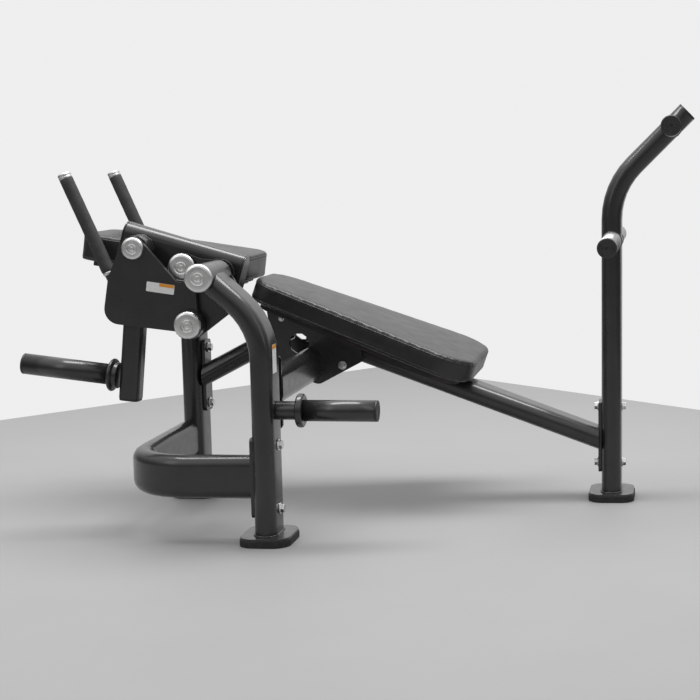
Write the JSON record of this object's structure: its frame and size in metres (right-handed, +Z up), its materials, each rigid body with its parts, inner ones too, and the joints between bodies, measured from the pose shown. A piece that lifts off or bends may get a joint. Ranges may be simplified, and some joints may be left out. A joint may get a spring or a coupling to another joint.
{
  "type": "decline crunch bench",
  "caption": "Plate-loaded abdominal crunch bench: sloping pad, lifting head pad on a lever linkage, pull handles, foot pegs and a plate storage horn.",
  "frame": {"origin": "on the floor under the centre of the rear post", "axes": "+X from the head end towards the rear post, +Z up, Y = 0 is the plane of the spine rail"},
  "size_m": [1.5506, 0.8563, 0.9889],
  "materials": {
    "frame_paint": "satin powder coat",
    "polished_steel": "satin bright",
    "peg_tube": "satin grey",
    "foot_rubber": "matt",
    "grip_rubber": "matt",
    "pad_leather": "fine grain",
    "moulded_plastic": "fine texture",
    "pad_board": "black-stained plywood"
  },
  "bodies": {
    "frame": {"side_foot_rubber": "foot_rubber", "side_leg": "frame_paint", "side_leg_hub": "frame_paint", "hub_bush": "polished_steel", "pivot_gusset": "frame_paint", "centre_foot_rubber": "foot_rubber", "centre_leg": "frame_paint", "lever_rest_buffer": "foot_rubber", "rear_foot_rubber": "foot_rubber", "rear_post": "frame_paint", "rear_post_cap": "moulded_plastic", "upper_peg": "peg_tube", "upper_peg_cap_near": "moulded_plastic", "upper_peg_cap_far": "moulded_plastic", "lower_peg": "peg_tube", "lower_peg_cap_near": "moulded_plastic", "lower_peg_cap_far": "moulded_plastic", "base_bar": "frame_paint", "side_leg_bolt_1": "polished_steel", "side_leg_bolt_2": "polished_steel", "spine_cheek_near": "frame_paint", "spine_cheek_far": "frame_paint", "spine_rail_cap": "moulded_plastic", "bench_pad_board": "pad_board", "bench_pad": "pad_leather", "spine_rail": "frame_paint", "rear_post_bolt_1": "polished_steel", "rear_post_bolt_2": "polished_steel", "front_strut": "frame_paint", "centre_leg_bolt_1": "polished_steel", "centre_leg_bolt_2": "polished_steel", "cross_tube": "frame_paint", "storage_horn_collar": "frame_paint", "storage_horn_sleeve": "frame_paint", "storage_horn_cap": "moulded_plastic"},
    "lever": {"lever_plate": "frame_paint", "lever_pivot_pin": "polished_steel", "lever_arm": "frame_paint", "lever_arm_plug": "moulded_plastic", "handle_cap_near": "frame_paint", "handle_grip_near": "grip_rubber", "handle_collar_near": "polished_steel", "handle_cap_far": "frame_paint", "handle_grip_far": "grip_rubber", "handle_collar_far": "polished_steel", "handle_frame": "frame_paint", "weight_horn_collar": "frame_paint", "weight_horn_sleeve": "frame_paint", "weight_horn_cap": "moulded_plastic"},
    "carrier": {"carrier_tube": "frame_paint", "carrier_plug_head": "frame_paint", "carrier_plug_rear": "frame_paint", "carrier_pivot_pin": "polished_steel", "rocker_pivot_pin": "polished_steel", "pad_cross_arm": "frame_paint", "head_pad": "pad_leather", "head_pad_board": "pad_board", "head_pad_mount_plate": "frame_paint"},
    "rocker": {"rocker_link": "frame_paint", "hub_pivot_cap": "polished_steel"}
  },
  "joints": [
    {"name": "lever_swing", "type": "hinge", "parent": "frame", "child": "lever", "pos_m": [-0.9405, -0.4, 0.485], "axis": [0, 1, 0], "range_deg": [0, 18]},
    {"name": "carrier_tilt", "type": "hinge", "parent": "lever", "child": "carrier", "pos_m": [-1.064, -0.375, 0.657], "axis": [0, 1, 0], "range_deg": [0, 27.5]},
    {"name": "rocker_swing", "type": "hinge", "parent": "frame", "child": "rocker", "pos_m": [-0.876, -0.46, 0.601], "axis": [0, 1, 0], "range_deg": [-21.3, 0]}
  ],
  "couplings": [
    {"joint": "carrier_tilt", "follows": "lever_swing", "ratio": 1.525},
    {"joint": "rocker_swing", "follows": "lever_swing", "ratio": -1.18}
  ]
}
